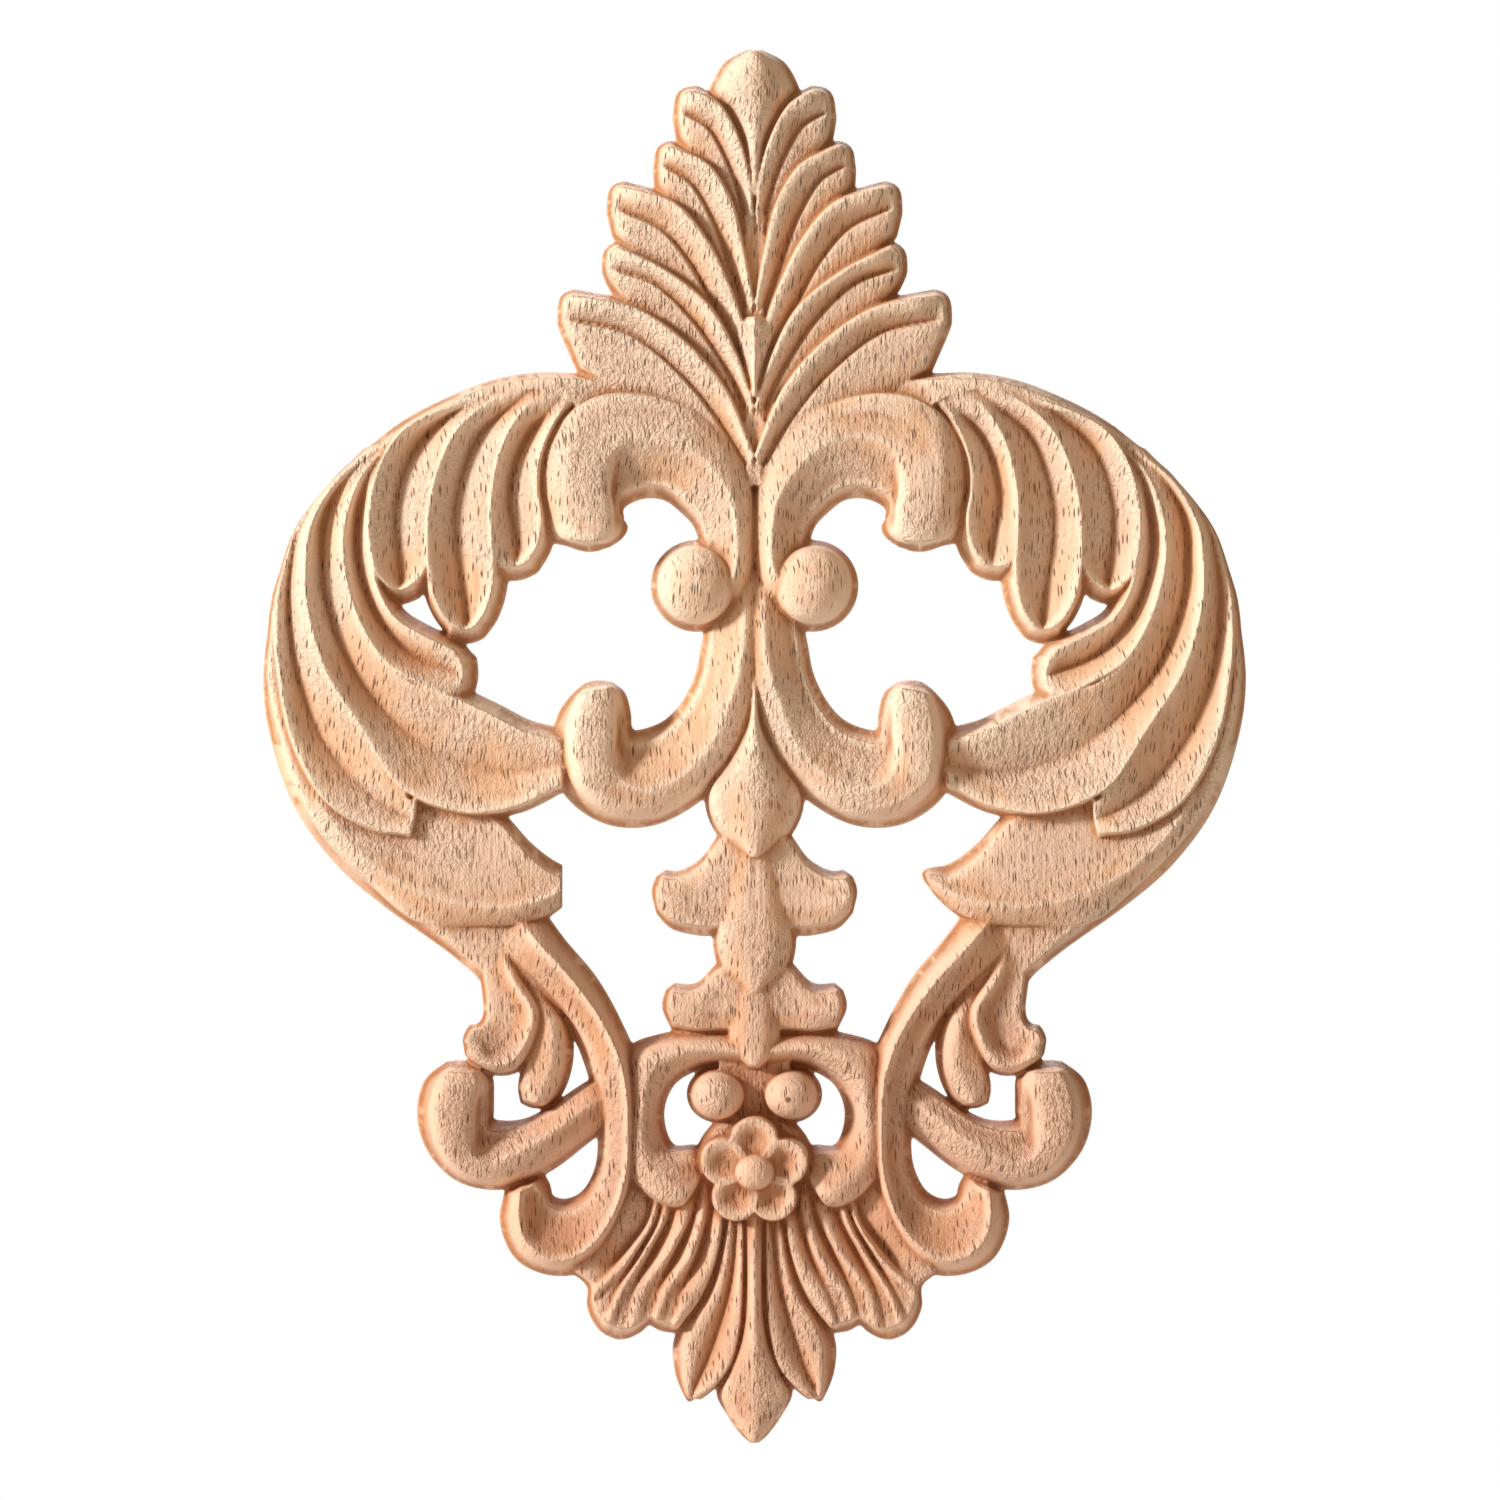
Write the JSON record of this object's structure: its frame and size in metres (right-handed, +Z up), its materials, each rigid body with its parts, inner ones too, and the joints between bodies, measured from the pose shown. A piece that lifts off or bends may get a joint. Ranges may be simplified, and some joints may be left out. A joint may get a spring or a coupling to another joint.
{
  "type": "carved wood applique",
  "caption": "Flat-backed carved wood applique, pierced, with scrolls, acanthus leaves, balls and a small flower, to fix on furniture or a wall.",
  "frame": {"origin": "centre of the flat back, on the panel's centre line, halfway up it", "axes": "+Z up the panel to its round top, +Y out of the flat back into the wall or the furniture, the carved face looks along -Y, +X to the right of someone who faces the carving"},
  "size_m": [0.2114, 0.0141, 0.3003],
  "materials": {
    "wood": "bare unfinished carved hardwood, pale pinkish tan with fine dark pores, matt"
  },
  "bodies": {
    "root": {"applique": "wood"}
  },
  "joints": []
}
